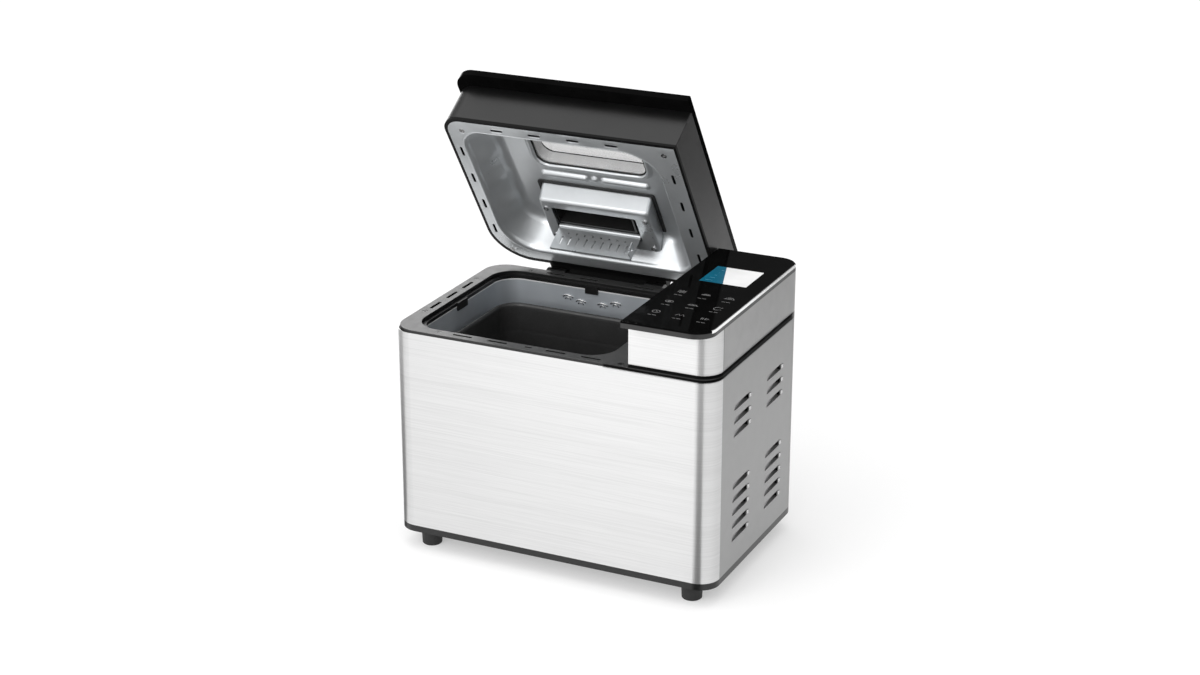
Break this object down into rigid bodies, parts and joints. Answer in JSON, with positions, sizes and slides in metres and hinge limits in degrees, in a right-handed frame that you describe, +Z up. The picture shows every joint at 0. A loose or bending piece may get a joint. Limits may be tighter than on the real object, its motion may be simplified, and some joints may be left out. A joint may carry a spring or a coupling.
{
  "type": "bread machine",
  "caption": "Countertop bread machine: steel body with side louvres, hinged lid with window and ingredient dispenser, lift-out pan, belt-driven paddle, touch panel.",
  "frame": {"origin": "on the floor at the centre of the body's footprint", "axes": "+X towards the control panel side, +Y towards the hinges at the rear, +Z up"},
  "size_m": [0.36, 0.3015, 0.4844],
  "materials": {
    "brushed_steel": "horizontally brushed stainless sheet",
    "side_sheet": "satin silver-grey painted sheet",
    "black_plastic": "fine-grained black heat-resistant plastic",
    "charcoal_plastic": "charcoal satin plastic",
    "pale_plastic": "pale heat-resistant plastic, satin, around the window",
    "black_glass": "opaque gloss black tempered panel",
    "clear_glass": "clear tempered glass",
    "display": "lit colour display",
    "bright_trim": "polished edge trim",
    "lid_aluminium": "satin pressed aluminium",
    "oven_steel": "aluminised sheet, satin",
    "zinc_steel": "zinc-plated steel",
    "screw_steel": "nickel-plated",
    "heater_sheath": "oxidised heater sheath",
    "pan_coating": "dark non-stick coating",
    "die_cast": "die-cast aluminium",
    "bronze": "sintered bronze",
    "copper_winding": "enamelled copper wire",
    "rubber": "black rubber",
    "circuit_board": "green solder mask"
  },
  "bodies": {
    "base": {"base_tray": "black_plastic", "feet": "rubber", "front_wrap": "brushed_steel", "left_side_panel": "side_sheet", "right_side_panel": "side_sheet", "rear_panel": "side_sheet", "case_screws": "screw_steel", "cord_gland": "rubber", "top_deck": "charcoal_plastic", "control_skin": "brushed_steel", "control_frame": "black_plastic", "control_bezel": "charcoal_plastic", "bezel_trim": "bright_trim", "control_glass": "black_glass", "display_screen": "display", "main_board": "circuit_board", "oven_chamber": "oven_steel", "chamber_supports": "zinc_steel", "heat_shield": "zinc_steel", "heating_element": "heater_sheath", "temp_probe": "screw_steel", "bearing_housing": "die_cast", "drive_bushes": "bronze", "motor_stator": "zinc_steel", "motor_coils": "copper_winding", "motor_bracket": "die_cast", "drive_belt": "rubber", "pan_seat": "die_cast", "hinge_brackets": "black_plastic", "hinge_pin": "screw_steel"},
    "drive": {"drive_shaft": "zinc_steel", "driven_pulley": "charcoal_plastic", "drive_dog": "die_cast"},
    "rotor": {"motor_rotor": "zinc_steel", "motor_shaft": "zinc_steel", "motor_pulley": "die_cast"},
    "pan": {"bread_pan": "pan_coating", "pan_base": "die_cast", "pan_bush": "bronze", "handle_lugs": "zinc_steel"},
    "paddle": {"pan_shaft": "zinc_steel", "pan_dog": "die_cast", "kneading_paddle": "pan_coating"},
    "bail": {"pan_handle": "screw_steel"},
    "lid": {"lid_shell": "black_plastic", "lid_rim": "black_plastic", "lid_liner": "lid_aluminium", "lid_top_plate": "black_glass", "window_panes": "clear_glass", "window_frame": "pale_plastic", "lid_screws": "screw_steel", "dispenser_bin": "charcoal_plastic", "dispenser_housing": "lid_aluminium", "dispenser_gasket": "charcoal_plastic", "release_solenoid": "copper_winding", "hinge_knuckle": "black_plastic", "flap_pin": "black_plastic"},
    "flap": {"dispenser_flap": "lid_aluminium"},
    "latch": {"latch_pin": "screw_steel"},
    "cover": {"filler_cover": "black_glass"}
  },
  "joints": [
    {"name": "lid_hinge", "type": "hinge", "parent": "base", "child": "lid", "pos_m": [0, 0.1205, 0.238], "axis": [-1, 0, 0], "range_deg": [-56.4, 0]},
    {"name": "dispenser_flap_hinge", "type": "hinge", "parent": "lid", "child": "flap", "pos_m": [-0.047, 0.10646, 0.30251], "axis": [1, 0, 0], "range_deg": [-90, 0]},
    {"name": "latch_slide", "type": "slide", "parent": "lid", "child": "latch", "axis": [1, 0, 0], "range_m": [-0.004, 0]},
    {"name": "filler_cover_hinge", "type": "hinge", "parent": "lid", "child": "cover", "pos_m": [-0.048, 0.14668, 0.30882], "axis": [-1, 0, 0], "range_deg": [0, 95]},
    {"name": "pan_lift", "type": "slide", "parent": "base", "child": "pan", "axis": [0, 0, 1], "range_m": [0, 0.095]},
    {"name": "pan_handle_hinge", "type": "hinge", "parent": "pan", "child": "bail", "pos_m": [-0.053, 0, 0.212], "axis": [-1, 0, 0], "range_deg": [0, 180]},
    {"name": "drive_spin", "type": "hinge", "parent": "base", "child": "drive", "pos_m": [-0.053, 0, 0.045], "axis": [0, 0, 1], "continuous": true},
    {"name": "motor_spin", "type": "hinge", "parent": "base", "child": "rotor", "pos_m": [0.13, -0.025, 0.08], "axis": [0, 0, 1], "continuous": true},
    {"name": "paddle_spin", "type": "hinge", "parent": "pan", "child": "paddle", "pos_m": [-0.053, 0, 0.1], "axis": [0, 0, 1], "continuous": true}
  ],
  "couplings": [
    {"joint": "motor_spin", "follows": "drive_spin", "ratio": 6},
    {"joint": "paddle_spin", "follows": "drive_spin", "ratio": 1}
  ]
}
